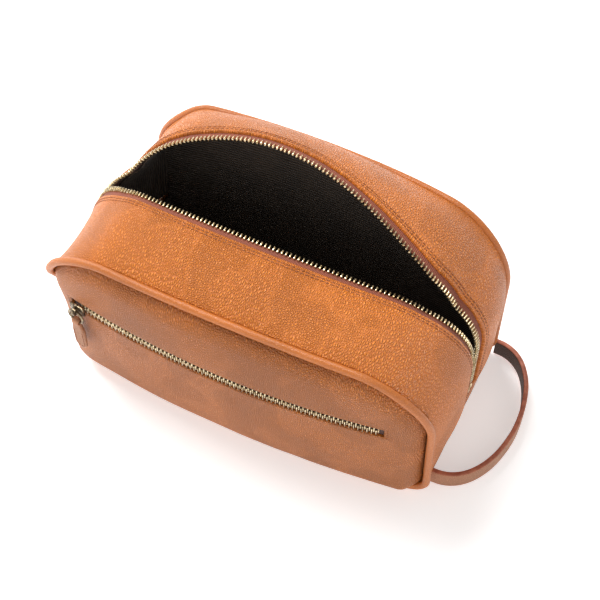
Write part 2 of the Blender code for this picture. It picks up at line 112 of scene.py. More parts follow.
# Stitching: how far the two rows lie from the folded edge beside the zip, the width and depth
# of the furrow under each, and the step at which a seam's line is followed
STITCH_ROWS = (0.0024, 0.0042)
STITCH_PITCH = 0.0030
STITCH_LENGTH = 0.0023
STITCH_FURROW = (0.0013, 0.00020)
SEAM_STEP = 0.0015

# Pocket zip and pulls
POCKET_LEFT = -0.104
POCKET_RIGHT = 0.099
SLOT_HALF = 0.0043
POCKET_SLIDER_X = -0.098
MAIN_SLIDER_Z = 0.048
PLATE_STAND = 0.0009
PLATE_THICK = 0.0018
EYE_STAND = 0.0016
RING_RADIUS = 0.0052
RING_WIRE = 0.0009
TAB_WIDTH = 0.009
TAB_THICK = 0.0026
TAB_LENGTH = 0.027
TAB_TOP = -0.0016
TAB_LOW = TAB_TOP - TAB_LENGTH

# Wrist strap
STRAP_HEIGHT = 0.014
STRAP_THICK = 0.003
STRAP_Z = 0.0006
STRAP_REACH = 0.033
STRAP_HALF = 0.051
STRAP_Y = 0.004
STRAP_START_X = HALF_LENGTH + 0.0009
STRAP_ROUNDNESS = 0.9
STRAP_SKEW = 0.0022
STRAP_ROOT = 0.0018
STRAP_TRIM = 0.0004
STRAP_SOFTEN = 0.0003


# Shape formulas


def smooth(value, low, high):
    part = min(1.0, max(0.0, (value - low) / (high - low)))
    return part * part * (3 - 2 * part)


def pushed(x, y, z):
    """Where the slump of the -X end puts a point of the plain shape."""
    return Vector((x + END_PUSH * smooth(-x, *PUSH_X) * smooth(y, *PUSH_Y), y, z))


def end_turn():
    """How far the pushed -X end is turned about Z where the zip runs down it."""
    return atan((pushed(-HALF_LENGTH, 0.001, 0.0).x - pushed(-HALF_LENGTH, -0.001, 0.0).x) / 0.002)


def sagitta(x):
    return sqrt(FRONT_ARC**2 - x**2) - sqrt(FRONT_ARC**2 - HALF_LENGTH**2)


def front_y(x, z):
    fullness = 1 - 0.45 * ((POCKET_Z - z) / POCKET_Z) ** 2
    if z > POCKET_Z:
        fullness = 1 - 0.70 * ((z - POCKET_Z) / (HEIGHT - POCKET_Z)) ** 2
    curl = CURL_DEPTH * (max(0.0, -x - CURL_X) / (HALF_LENGTH - CURL_X)) ** 2 * (1 - smooth(z, *CURL_Z))
    return -HALF_DEPTH - FRONT_LEAN * z / HEIGHT - sagitta(x) * fullness + curl


def back_y(x, z):
    fullness = 0.45 + 0.55 * z / HEIGHT
    drawn = TUCK_DEPTH * (max(0.0, x - TUCK_X) / (HALF_LENGTH - TUCK_X)) ** 2
    return HALF_DEPTH + BACK_BOW * (1 - (x / HALF_LENGTH) ** 2) * fullness - drawn


def wall_y(side, x, z):
    return front_y(x, z) if side < 0 else back_y(x, z)


def panel_gap(x, z, inset):
    """How far a point lies inside the rounded outline that is inset from the piping's."""
    low, high = PIPING_LOW_Z + inset, HEIGHT - inset
    middle = (low + high) / 2
    radius = (TOP_RADIUS if z > middle else BASE_RADIUS) - inset
    over_x = abs(x) - (HALF_LENGTH - inset - radius)
    over_z = abs(z - middle) - ((high - low) / 2 - radius)
    corner = sqrt(max(over_x, 0.0) ** 2 + max(over_z, 0.0) ** 2)
    return radius - corner - min(max(over_x, over_z), 0.0)


def panel_y(side, x, z):
    """Face of the front or back panel: the front one is padded and stands out like a pillow."""
    if side > 0:
        return back_y(x, z)
    full = FRONT_PUFF + FRONT_LEAN * max(0.0, POCKET_Z - z) / HEIGHT
    inside = max(0.0, panel_gap(x, z, PIPING_CLEAR))
    return front_y(x, z) - full * sin(pi / 2 * min(1.0, inside / PUFF_EDGE))


BAND_TOP = HALF_LENGTH - TOP_RADIUS
BAND_TURN = TOP_RADIUS * pi / 2
BAND_DROP = HEIGHT - TOP_RADIUS - SEAM_Z
BAND_HALF = BAND_TOP + BAND_TURN + BAND_DROP


def band_path(s):
    """Point and outward direction on the upper outline; s is 0 at the top, 1 at the +X seam."""
    run = abs(s) * BAND_HALF
    way = 1 if s >= 0 else -1
    if run < BAND_TOP:
        return way * run, HEIGHT, 0.0, 1.0
    if run < BAND_TOP + BAND_TURN:
        turn = (run - BAND_TOP) / TOP_RADIUS
        x = BAND_TOP + TOP_RADIUS * sin(turn)
        return way * x, HEIGHT - TOP_RADIUS * (1 - cos(turn)), way * sin(turn), cos(turn)
    return way * HALF_LENGTH, HEIGHT - TOP_RADIUS - (run - BAND_TOP - BAND_TURN), float(way), 0.0


def row_y(side, x, z):
    if side < 0:
        settle = min(1.0, max(0.0, (z - SEAM_Z) / SETTLE_RISE))
        swell = max(0.0, 1 - (x / FRONT_BOW_REACH) ** 2) ** 0.8
        return -ROW_CLOSED_Y - FRONT_SETTLE * settle - FRONT_BOW * swell
    reach = BACK_REACH_RIGHT if x > BACK_PEAK_X else BACK_REACH_LEFT
    swell = max(0.0, 1 - ((x - BACK_PEAK_X) / reach) ** 2) ** 1.3
    return ROW_CLOSED_Y + BACK_ROW_BOW * swell


def row_point(side, s):
    x, z, out_x, out_z = band_path(s)
    crown, reach = BACK_CROWN, BACK_CROWN_REACH
    if side < 0:
        crown, reach = FRONT_CROWN, FRONT_CROWN_REACH
    stand = ROW_STAND + crown * max(0.0, 1 - (x / reach) ** 2)
    px, pz = x + out_x * stand, z + out_z * stand
    return pushed(px, row_y(side, px, pz), pz)


def piping_point(side, s):
    x, z, _, _ = band_path(s)
    return pushed(x, wall_y(side, x, z), z)


class Rib:
    """The zip band's cross-section at s: from the piping, over a sagging arc, to the teeth."""

    def __init__(self, side, s):
        self.start = piping_point(side, s)
        chord = row_point(side, s) - self.start
        self.length = chord.length
        self.way = chord / self.length
        along = piping_point(side, s + 0.002) - piping_point(side, s - 0.002)
        self.out = along.cross(chord).normalized()
        _, _, out_x, out_z = band_path(s)
        if self.out.dot(Vector((out_x, 0.0, out_z))) < 0:
            self.out.negate()
        self.sag = GUSSET_SAG * (1 + max(0.0, cos(pi * s / 2)))
        self.sag *= 1 - DIP * sin(pi * max(0.0, -s - DIP_START) / (1 - DIP_START)) ** 2

    def at(self, reach):
        part = reach / self.length
        return self.start + self.way * reach + self.out * (4 * self.sag * part * (1 - part))


# Mesh builders


def tuck(gap, radius):
    """How far a rolled edge of that radius has dropped, gap metres inside the edge."""
    if gap >= radius:
        return 0.0
    return radius - sqrt(max(0.0, radius**2 - (radius - max(0.0, gap)) ** 2))


def groove(distance, width, depth):
    """A rounded furrow of that width and depth, centred on distance 0."""
    if abs(distance) >= width / 2:
        return 0.0
    return depth * 0.5 * (1 + cos(2 * pi * distance / width))


def eased(count):
    """count steps from 0 to 1, close together at both ends."""
    return [0.5 - 0.5 * cos(pi * k / count) for k in range(count + 1)]


FINE_STEPS = (0.0, 0.0003, 0.0007, 0.0012, 0.0019, 0.0028)


def spaced(low, high, step):
    """Positions from low to high, close together near both ends."""
    first, last = low + FINE_STEPS[-1], high - FINE_STEPS[-1]
    count = max(1, round((last - first) / step))
    middle = [first + (last - first) * k / count for k in range(1, count)]
    ends = [high - f for f in reversed(FINE_STEPS)]
    return [low + f for f in FINE_STEPS] + middle + ends


def ripple(a, b, seed, size):
    """Smooth noise from -1 to 1 with bumps of about that size in metres."""
    return noise.noise(Vector((a / size, b / size, seed)))


def finish_mesh(name, shape, material, sharp=45.0):
    """Turn a bmesh into a shaded object with its material."""
    bmesh.ops.recalc_face_normals(shape, faces=shape.faces)
    mesh = bpy.data.meshes.new(name)
    shape.to_mesh(mesh)
    shape.free()
    mesh.shade_smooth()
    mesh.set_sharp_from_angle(angle=radians(sharp))
    mesh.materials.append(material)
    piece = bpy.data.objects.new(name, mesh)
    bpy.context.scene.collection.objects.link(piece)
    return piece


def bridge(shape, rings, closed=False):
    """Faces between neighbouring rings of vertices, and from the last ring to the first if closed."""
    sides = len(rings[0])
    for k in range(len(rings) if closed else len(rings) - 1):
        after = rings[(k + 1) % len(rings)]
        for i in range(sides):
            j = (i + 1) % sides
            shape.faces.new((rings[k][i], rings[k][j], after[j], after[i]))


def lay_uv(shape, layer, places):
    """Give every face corner its vertex's place in metres."""
    for face in shape.faces:
        for loop in face.loops:
            loop[layer].uv = places[loop.vert]


def slab(name, skin, uv, thickness, inward, material, depth=0.0, sink=None, keep=None):
    """Closed sheet. skin is a grid of points, uv their places in metres along the sheet,
    inward the rough direction to the inside, sink how far the outer face drops at each."""
    skin = np.array(skin, float)
    uv = np.array(uv, float)
    inward = np.array(inward, float)
    sink = np.zeros(skin.shape[:2]) if sink is None else np.array(sink, float)
    normal = np.cross(np.gradient(skin, axis=0), np.gradient(skin, axis=1))
    normal /= np.maximum(np.linalg.norm(normal, axis=2, keepdims=True), 1e-12)
    normal[(normal * inward).sum(axis=2) < 0] *= -1
    outer = skin + normal * (depth + np.minimum(sink, 0.85 * thickness))[..., None]
    inner = skin + normal * (depth + thickness + np.minimum(sink, 0.0))[..., None]
    columns, rows = skin.shape[:2]
    shape = bmesh.new()
    layer = shape.loops.layers.uv.new("UVMap")
    grids = []
    for grid in (outer, inner):
        grids.append([[shape.verts.new(grid[i, j]) for j in range(rows)] for i in range(columns)])
    places = {}
    for grid in grids:
        for i in range(columns):
            for j in range(rows):
                places[grid[i][j]] = uv[i, j]
    edges = set()
    for i in range(columns - 1):
        for j in range(rows - 1):
            if keep is not None and not keep(i, j):
                continue
            corners = ((i, j), (i + 1, j), (i + 1, j + 1), (i, j + 1))
            shape.faces.new([grids[0][a][b] for a, b in corners])
            shape.faces.new([grids[1][a][b] for a, b in reversed(corners)])
            for k in range(4):
                edges.add((corners[k], corners[(k + 1) % 4]))
    for a, b in sorted(edges):
        if (b, a) not in edges:
            rim = [grids[0][i][j] for i, j in (b, a)] + [grids[1][i][j] for i, j in (a, b)]
            shape.faces.new(rim)
    lay_uv(shape, layer, places)
    loose = [v for v in shape.verts if not v.link_faces]
    bmesh.ops.delete(shape, geom=loose, context="VERTS")
    return finish_mesh(name, shape, material, sharp=60.0)


def declare_cloth(skin):
    """Work out the width, length and area of the grid of points that a cloth piece follows; nothing is done
    with them.
    """
    grid = np.array(skin, float)
    width = np.linalg.norm(np.diff(grid, axis=0), axis=2).sum(axis=0).max()
    length = np.linalg.norm(np.diff(grid, axis=1), axis=2).sum(axis=1).max()
    along = grid[1:, :-1] - grid[:-1, :-1]
    across = grid[:-1, 1:] - grid[:-1, :-1]
    area = np.linalg.norm(np.cross(along, across), axis=2).sum()
    area = min(float(area), 0.999 * float(width * length))


def tube(name, rings, uv_step, material):
    """Closed loop of rings of points."""
    shape = bmesh.new()
    layer = shape.loops.layers.uv.new("UVMap")
    grid = [[shape.verts.new(p) for p in ring] for ring in rings]
    count, sides = len(grid), len(grid[0])
    for k in range(count):
        after = grid[(k + 1) % count]
        for i in range(sides):
            j = (i + 1) % sides
            face = shape.faces.new((grid[k][i], grid[k][j], after[j], after[i]))
            for loop, (a, b) in zip(face.loops, ((k, i), (k, i + 1), (k + 1, i + 1), (k + 1, i))):
                loop[layer].uv = (a * uv_step[0], b * uv_step[1])
    return finish_mesh(name, shape, material, sharp=60.0)


def loft(shape, sections, frame_at):
    """Small closed body: each section is (forward, half width, half height, lift)."""
    sides = 8
    rings = []
    for forward, half_width, half_height, lift in sections:
        ring = []
        for i in range(sides):
            turn = 2 * pi * (i + 0.5) / sides
            a = max(-1.0, min(1.0, 1.25 * cos(turn)))
            b = max(-1.0, min(1.0, 1.25 * sin(turn)))
            ring.append(shape.verts.new(frame_at @ Vector((forward, a * half_width, lift + b * half_height))))
        rings.append(ring)
    bridge(shape, rings)
    shape.faces.new(list(reversed(rings[0])))
    shape.faces.new(rings[-1])


def frame_matrix(origin, forward, side, up):
    """Matrix with local X, Y and Z along those three directions."""
    made = Matrix.Identity(4)
    for column, axis in enumerate((forward, side, up)):
        for row in range(3):
            made[row][column] = axis[row]
    for row in range(3):
        made[row][3] = origin[row]
    return made


def sized(profile, length=MM):
    """Sections for loft from a profile in millimetres, or in parts of a length and millimetres."""
    return [(forward * length, w * MM, h * MM, lift * MM) for forward, w, h, lift in profile]


def travelled(points):
    """Distance along a line of points, at each of them."""
    travel = [0.0]
    for a, b in zip(points, points[1:]):
        travel.append(travel[-1] + (b - a).length)
    return travel


STITCH = (
    (-0.50, 0.10, 0.05, -0.10),
    (-0.42, 0.22, 0.16, 0.00),
    (-0.20, 0.26, 0.22, 0.06),
    (0.20, 0.26, 0.22, 0.06),
    (0.42, 0.22, 0.16, 0.00),
    (0.50, 0.10, 0.05, -0.10),
)


def stitches(name, runs, material, length=STITCH_LENGTH, pitch=STITCH_PITCH):
    """Rows of thread. Each run is a list of (point, up) along a seam."""
    shape = bmesh.new()
    sections = sized(STITCH, length)
    slant = 0.10
    for run in runs:
        points = [p for p, _ in run]
        travel = travelled(points)
        count = int(travel[-1] / pitch)
        k = 0
        for n in range(count):
            want = (n + 0.5) * travel[-1] / count
            while travel[k + 1] < want:
                k += 1
            part = (want - travel[k]) / (travel[k + 1] - travel[k])
            place = points[k].lerp(points[k + 1], part)
            up = run[k][1]
            forward = (points[k + 1] - points[k]).normalized()
            side = up.cross(forward).normalized()
            up = forward.cross(side)
            forward = (forward + side * slant).normalized()
            loft(shape, sections, frame_matrix(place, forward, side, up))
    return finish_mesh(name, shape, material, sharp=80.0)


# Materials


def add(tree, kind, sockets=(), **settings):
    made = tree.nodes.new(kind)
    for key, value in settings.items():
        setattr(made, key, value)
    for key, value in dict(sockets).items():
        if isinstance(value, bpy.types.NodeSocket):
            tree.links.new(value, made.inputs[key])
        else:
            made.inputs[key].default_value = value
    return made


def start(name):
    made = bpy.data.materials.new(name)
    made.use_nodes = True
    tree = made.node_tree
    return made, tree, tree.nodes["Principled BSDF"]


def math(tree, operation, first, second=0.5):
    return add(tree, "ShaderNodeMath", {0: first, 1: second}, operation=operation).outputs[0]


def mapped(tree, value, low, high, to_low=0.0, to_high=1.0, linear=False):
    sockets = {"Value": value, "From Min": low, "From Max": high, "To Min": to_low, "To Max": to_high}
    kind = "LINEAR" if linear else "SMOOTHSTEP"
    return add(tree, "ShaderNodeMapRange", sockets, interpolation_type=kind).outputs["Result"]


def blended(tree, factor, first, second, mode="MIX"):
    """Mix of two colours."""
    made = add(tree, "ShaderNodeMix", data_type="RGBA", blend_type=mode)
    for key, value in ((0, factor), (6, first), (7, second)):
        if isinstance(value, bpy.types.NodeSocket):
            tree.links.new(value, made.inputs[key])
        elif key == 0:
            made.inputs[key].default_value = value
        else:
            made.inputs[key].default_value = (*value, 1.0)
    return made.outputs[2]


def scaled(tree, vector, size):
    return add(tree, "ShaderNodeVectorMath", {0: vector, 1: size}, operation="MULTIPLY").outputs[0]


def warped(tree, vector, size, amount):
    """The vector pushed about by noise with bumps of that size, by up to amount metres."""
    shake = add(tree, "ShaderNodeTexNoise", {"Vector": vector, "Scale": 1 / size, "Detail": 1.0},
                noise_dimensions="2D").outputs["Color"]
    sockets = {0: shake, 1: (2 * amount, 2 * amount, 0.0), 2: vector}
    return add(tree, "ShaderNodeVectorMath", sockets, operation="MULTIPLY_ADD").outputs[0]


def specks_in(tree, vector, scale, detail, **settings):
    """Noise value with about scale bumps in a metre."""
    sockets = {"Vector": vector, "Scale": scale, "Detail": detail}
    return add(tree, "ShaderNodeTexNoise", sockets, **settings).outputs["Fac"]


def coat(tree, shader, colour, rough, height, depth, strength=1.0):
    """Connect a material's colour, roughness and bump."""
    bump = add(tree, "ShaderNodeBump", {"Height": height, "Strength": strength, "Distance": depth})
    for key, value in (("Base Color", colour), ("Roughness", rough), ("Normal", bump.outputs["Normal"])):
        tree.links.new(value, shader.inputs[key])


def leather(name, light, dark, grain, depth, roughness=(0.36, 0.62), stretched=0.5, mottle=0.16):
    """Pebbled leather: domed grain with dark creases between, patchy colour and soft gloss."""
    made, tree, shader = start(name)
    uv = add(tree, "ShaderNodeUVMap", uv_map="UVMap").outputs["UV"]
    place = warped(tree, uv, grain * 2.2, grain * 0.35)
    domes = []
    for vector in (place, scaled(tree, place, (1.15, 0.52, 1.0))):
        cells = add(tree, "ShaderNodeTexVoronoi", {"Vector": vector, "Scale": 1 / grain},
                    voronoi_dimensions="2D", feature="DISTANCE_TO_EDGE").outputs["Distance"]
        domes.append(mapped(tree, cells, 0.0, 0.42))
    patch = specks_in(tree, uv, 28.0, 1.0, noise_dimensions="2D")
    mask = mapped(tree, patch, 0.62 - 0.35 * stretched, 0.72 - 0.35 * stretched)
    sockets = {0: mask, 2: domes[0], 3: domes[1]}
    mixed = add(tree, "ShaderNodeMix", sockets, data_type="FLOAT").outputs[0]
    fine = specks_in(tree, uv, 3.2 / grain, 3.0, noise_dimensions="2D")
    height = math(tree, "ADD", mixed, math(tree, "MULTIPLY", fine, 0.55))
    tone = mapped(tree, mixed, 0.0, 1.0, 0.25, 1.0, linear=True)
    colour = blended(tree, tone, dark, light)
    wide = add(tree, "ShaderNodeTexNoise", {"Vector": uv, "Scale": 14.0, "Detail": 4.0, "Roughness": 0.6},
               noise_dimensions="2D").outputs["Fac"]
    shade = mapped(tree, wide, 0.3, 0.7, 1 - mottle, 1 + mottle * 0.4, linear=True)
    shade_colour = add(tree, "ShaderNodeCombineColor", {0: shade, 1: shade, 2: shade}).outputs[0]
    colour = blended(tree, 1.0, colour, shade_colour, "MULTIPLY")
    gloss = mapped(tree, mixed, 0.0, 1.0, roughness[1], roughness[0], linear=True)
    gloss = math(tree, "ADD", gloss, math(tree, "MULTIPLY", math(tree, "SUBTRACT", fine, 0.5), 0.12))
    coat(tree, shader, colour, gloss, height, depth)
    shader.inputs["Specular IOR Level"].default_value = 0.6
    return made


def woven(name, light, dark, rib, depth, across=True):
    """Cloth with ribs: rib is their pitch in metres, across says that they count along V."""
    roughness = 0.8
    made, tree, shader = start(name)
    uv = add(tree, "ShaderNodeUVMap", uv_map="UVMap").outputs["UV"]
    uv = warped(tree, uv, 0.02, 0.0004)
    parts = add(tree, "ShaderNodeSeparateXYZ", {0: uv})
    first, second = parts.outputs[1], parts.outputs[0]
    if not across:
        first, second = second, first
    ribs = math(tree, "SINE", math(tree, "MULTIPLY", first, 2 * pi / rib))
    picks = math(tree, "SINE", math(tree, "MULTIPLY", second, 2 * pi / (rib * 0.6)))
    height = math(tree, "ADD", ribs, math(tree, "MULTIPLY", picks, 0.35))
    level = mapped(tree, height, -1.2, 1.2)
    fuzz = specks_in(tree, uv, 60.0, 5.0, noise_dimensions="2D")
    tone = math(tree, "ADD", level, math(tree, "MULTIPLY", math(tree, "SUBTRACT", fuzz, 0.5), 0.9))
    rough = mapped(tree, fuzz, 0.3, 0.7, roughness - 0.06, min(1.0, roughness + 0.06))
    coat(tree, shader, blended(tree, tone, dark, light), rough, level, depth)
    shader.inputs["Sheen Weight"].default_value = 0.2
    shader.inputs["Sheen Roughness"].default_value = 0.5
    return made


def metal(name, bright, dull, roughness, scale=900.0):
    """Antique brass: worn bright in patches, dull and darker between."""
    made, tree, shader = start(name)
    place = add(tree, "ShaderNodeTexCoord").outputs["Object"]
    patina = specks_in(tree, place, scale, 4.0)
    wear = mapped(tree, patina, 0.38, 0.60)
    rough = mapped(tree, patina, 0.35, 0.65, roughness + 0.14, roughness - 0.06)
    coat(tree, shader, blended(tree, wear, dull, bright), rough, patina, 0.0001, strength=0.35)
    shader.inputs["Metallic"].default_value = 1.0
    return made


def fibre(name, light, dark, scale, roughness):
    """Thread, edge paint or board: fine streaks and specks in object space."""
    made, tree, shader = start(name)
    place = add(tree, "ShaderNodeTexCoord").outputs["Object"]
    specks = specks_in(tree, place, scale, 4.0)
    tone = mapped(tree, specks, 0.3, 0.7)
    rough = mapped(tree, specks, 0.3, 0.7, roughness + 0.08, roughness - 0.05)
    coat(tree, shader, blended(tree, tone, dark, light), rough, specks, 0.00015, strength=0.5)
    return made


BODY = leather("body_leather", (0.80, 0.245, 0.024), (0.46, 0.100, 0.006), 0.00135, 0.00070,
               roughness=(0.30, 0.55))
PANEL = leather("panel_leather", (0.70, 0.215, 0.022), (0.40, 0.090, 0.005), 0.00115, 0.00095,
                roughness=(0.30, 0.52), stretched=0.4)
PIPING = leather("piping_leather", (0.56, 0.170, 0.024), (0.42, 0.105, 0.010), 0.00120, 0.00014,
                 roughness=(0.34, 0.48), stretched=0.7)
STRAP_SKIN = leather("strap_leather", (0.56, 0.25, 0.120), (0.32, 0.120, 0.048), 0.00100, 0.00030,
                     roughness=(0.42, 0.62), stretched=0.3)
STRAP_BACK = leather("strap_lining_leather", (0.085, 0.036, 0.018), (0.020, 0.008, 0.004), 0.00120, 0.00030,
                     roughness=(0.5, 0.7), stretched=0.3)
EDGE_PAINT = fibre("edge_paint", (0.50, 0.165, 0.090), (0.34, 0.095, 0.050), 300.0, 0.42)
THREAD = fibre("thread", (0.34, 0.105, 0.035), (0.16, 0.045, 0.014), 2500.0, 0.7)
LINING_THREAD = fibre("lining_thread", (0.22, 0.15, 0.10), (0.12, 0.08, 0.05), 2500.0, 0.8)
LINING = woven("lining_cloth", (0.120, 0.078, 0.048), (0.024, 0.014, 0.009), 0.0022, 0.00040)
TAPE_CLOTH = woven("zip_tape", (0.34, 0.090, 0.042), (0.15, 0.034, 0.017), 0.0008, 0.00015, across=False)
# The pocket's tape: the zip tape's reddish brown, darkened far below it as painted shade of the recessed slot
POCKET_TAPE_PAINTED_SHADE = woven("pocket_zip_tape_painted_shade", (0.080, 0.022, 0.012), (0.030, 0.009, 0.006), 0.0008, 0.00015,
                     across=False)
TEETH = metal("zip_metal", (0.92, 0.78, 0.52), (0.46, 0.33, 0.17), 0.24)
POCKET_METAL = metal("pocket_zip_metal", (0.80, 0.68, 0.46), (0.30, 0.22, 0.12), 0.28)
PULL_METAL = metal("pull_metal", (0.30, 0.24, 0.15), (0.07, 0.05, 0.035), 0.30, 500.0)
BOARD = fibre("board", (0.16, 0.14, 0.12), (0.08, 0.07, 0.06), 700.0, 0.85)


# Leather body


def to_middle(skin):
    """Rough direction to the inside for the zip band and base band."""
    skin = np.array(skin, float)
    away = np.zeros_like(skin)
    away[..., 0] = np.clip(skin[..., 0], -0.07, 0.07) - skin[..., 0]
    away[..., 2] = 0.055 - skin[..., 2]
    return away


def straight_in(skin, side):
    away = np.zeros_like(np.array(skin, float))
    away[..., 1] = -side
    return away


def settle(piece, slot, way, *nodes):
    """Hide the CAD nodes that a piece stands for, and attach it to the body that it follows; front, back and
    strap pieces only get their transform baked. The slot is not used.
    """
    if nodes:
        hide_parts(*nodes)
    if way == "front":
        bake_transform(piece)
    elif way == "back":
        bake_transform(piece)
    elif way == "strap":
        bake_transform(piece)
    else:
        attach(piece, way)
    return piece


def panel_limits(x, inset):
    """Lowest and highest Z at x inside the outline that is inset from the piping's."""
    half = HALF_LENGTH - inset
    top_radius = TOP_RADIUS - inset
    base_radius = BASE_RADIUS - inset
    low = PIPING_LOW_Z + inset
    high = HEIGHT - inset
    into_base = max(0.0, abs(x) - (half - base_radius))
    into_top = max(0.0, abs(x) - (half - top_radius))
    low += base_radius - sqrt(max(0.0, base_radius**2 - into_base**2))
    high -= top_radius - sqrt(max(0.0, top_radius**2 - into_top**2))
    return low, high


def soft_dents(a, b, seed, gap, amount):
    """Slow unevenness of the leather, dying out towards its sewn edges."""
    hold = min(1.0, max(0.0, gap / 0.012))
    slow = ripple(a, b, seed, 0.045) + 0.4 * ripple(a, b, seed + 7, 0.018)
    return amount * hold * slow


def front_panel():
    inset = 0.0022
    pad_roll = 0.0055
    pad_share = 0.45
    edge_roll = 0.0022
    slot_roll = 0.0012
    half = HALF_LENGTH - inset
    ends = eased(14)
    columns = [-half + (POCKET_LEFT + half) * t for t in ends]
    columns += spaced(POCKET_LEFT, POCKET_RIGHT, 0.0021)[1:]
    columns += [POCKET_RIGHT + (half - POCKET_RIGHT) * t for t in ends[1:]]
    first_slot = len(ends) - 1
    last_slot = len(columns) - len(ends)
    low_rows, slot_rows, high_rows = eased(36), eased(6), eased(26)
    slot_low, slot_high = POCKET_Z - SLOT_HALF, POCKET_Z + SLOT_HALF
    skin, uv, sink = [], [], []
    for x in columns:
        low, high = panel_limits(x, inset)
        lower = min(slot_low, low + 0.90 * (high - low))
        upper = min(slot_high, low + 0.97 * (high - low))
        levels = [low + (lower - low) * t for t in low_rows]
        levels += [lower + (upper - lower) * t for t in slot_rows[1:]]
        levels += [upper + (high - upper) * t for t in high_rows[1:]]
        dips = [pad_share * tuck(panel_gap(x, z, inset), pad_roll) for z in levels]
        skin.append([pushed(x, panel_y(-1, x, z) + dip, z) for z, dip in zip(levels, dips)])
        uv.append([(x, z) for z in levels])
        line = []
        for z in levels:
            gap = panel_gap(x, z, inset)
            out_x = max(0.0, POCKET_LEFT - x, x - POCKET_RIGHT)
            out_z = max(0.0, abs(z - POCKET_Z) - SLOT_HALF)
            from_slot = sqrt(out_x**2 + out_z**2)
            drop = max(tuck(gap, edge_roll), tuck(from_slot, slot_roll))
            drop += soft_dents(x, z, 1.0, min(gap, from_slot), 0.0006)
            line.append(drop)
        sink.append(line)
    low_slot_row = len(low_rows) - 1
    high_slot_row = low_slot_row + len(slot_rows) - 1

    def keep(i, j):
        return not (first_slot <= i < last_slot and low_slot_row <= j < high_slot_row)

    piece = slab("front_panel_leather", skin, uv, LEATHER, straight_in(skin, -1), PANEL, sink=sink, keep=keep)
    settle(piece, "body_leather", "front", "front_panel")


def back_panel():
    inset = 0.0020
    edge_roll = 0.0017
    half = HALF_LENGTH - inset
    skin, uv, sink = [], [], []
    columns = [half * sin(pi / 2 * (k / 55 - 1)) for k in range(111)]
    for x in columns:
        low, high = panel_limits(x, inset)
        levels = [low + (high - low) * t for t in eased(56)]
        skin.append([pushed(x, back_y(x, z), z) for z in levels])
        uv.append([(x + 0.4, z) for z in levels])
        line = []
        for z in levels:
            gap = panel_gap(x, z, inset)
            line.append(tuck(gap, edge_roll) + soft_dents(x, z, 5.0, gap, 0.0007))
        sink.append(line)
    piece = slab("back_panel_leather", skin, uv, LEATHER, straight_in(skin, 1), PANEL, sink=sink)
    settle(piece, "body_leather", "root", "back_panel")


def outline_loop(step):
    """Closed rounded outline of a panel, in X and Z with its outward turn, at about that step."""
    low = PIPING_LOW_Z
    corners = (
        (HALF_LENGTH - BASE_RADIUS, low + BASE_RADIUS, BASE_RADIUS, -pi / 2),
        (HALF_LENGTH - TOP_RADIUS, HEIGHT - TOP_RADIUS, TOP_RADIUS, 0.0),
        (TOP_RADIUS - HALF_LENGTH, HEIGHT - TOP_RADIUS, TOP_RADIUS, pi / 2),
        (BASE_RADIUS - HALF_LENGTH, low + BASE_RADIUS, BASE_RADIUS, pi),
    )
    loop = []
    for k, (x, z, radius, first) in enumerate(corners):
        steps = max(6, round(radius * pi / 2 / step))
        for i in range(steps + 1):
            turn = first + i * pi / 2 / steps
            loop.append((x + radius * cos(turn), z + radius * sin(turn), turn))
        turn = first + pi / 2
        after_x, after_z, after_radius, _ = corners[(k + 1) % 4]
        end = (after_x + after_radius * cos(turn), after_z + after_radius * sin(turn))
        last = loop[-1]
        count = max(2, round(sqrt((end[0] - last[0]) ** 2 + (end[1] - last[1]) ** 2) / step))
        for i in range(1, count):
            part = i / count
            loop.append((last[0] + (end[0] - last[0]) * part, last[1] + (end[1] - last[1]) * part, turn))
    return loop


def piping(side, half):
    sides = 14
    step = 0.0024
    rings = []
    for k, (x, z, turn) in enumerate(outline_loop(step)):
        centre = pushed(x, wall_y(side, x, z), z)
        ring = []
        for i in range(sides):
            roll = 2 * pi * i / sides
            out = Vector((cos(turn) * cos(roll), sin(roll), sin(turn) * cos(roll)))
            wave = 0.00010 * ripple(k * step, i * 0.001, 3.0 + side, 0.006)
            ring.append(centre + out * (PIPING_RADIUS - 0.00005 + wave))
        rings.append(ring)
    piece = tube(f"{half}_piping_leather", rings, (step, 0.0011), PIPING)
    settle(piece, "piping_leather", "front" if side < 0 else "root", f"{half}_piping")


BASE_FLAT = HALF_LENGTH - END_RADIUS
BASE_BEND = END_RADIUS * pi / 2


def base_path(run):
    """X and Z on the U of base and ends, run metres from its middle, and how upright it is there."""
    if run < BASE_FLAT:
        return run, 0.0, 0.0
    if run < BASE_FLAT + BASE_BEND:
        turn = (run - BASE_FLAT) / END_RADIUS
        return BASE_FLAT + END_RADIUS * sin(turn), END_RADIUS * (1 - cos(turn)), sin(turn)
    return HALF_LENGTH, END_RADIUS + run - BASE_FLAT - BASE_BEND, 1.0


def end_bulge(side_on, y, z):
    return END_BULGE * side_on * max(0.0, 1 - (y / HALF_DEPTH) ** 2) * z / SEAM_Z


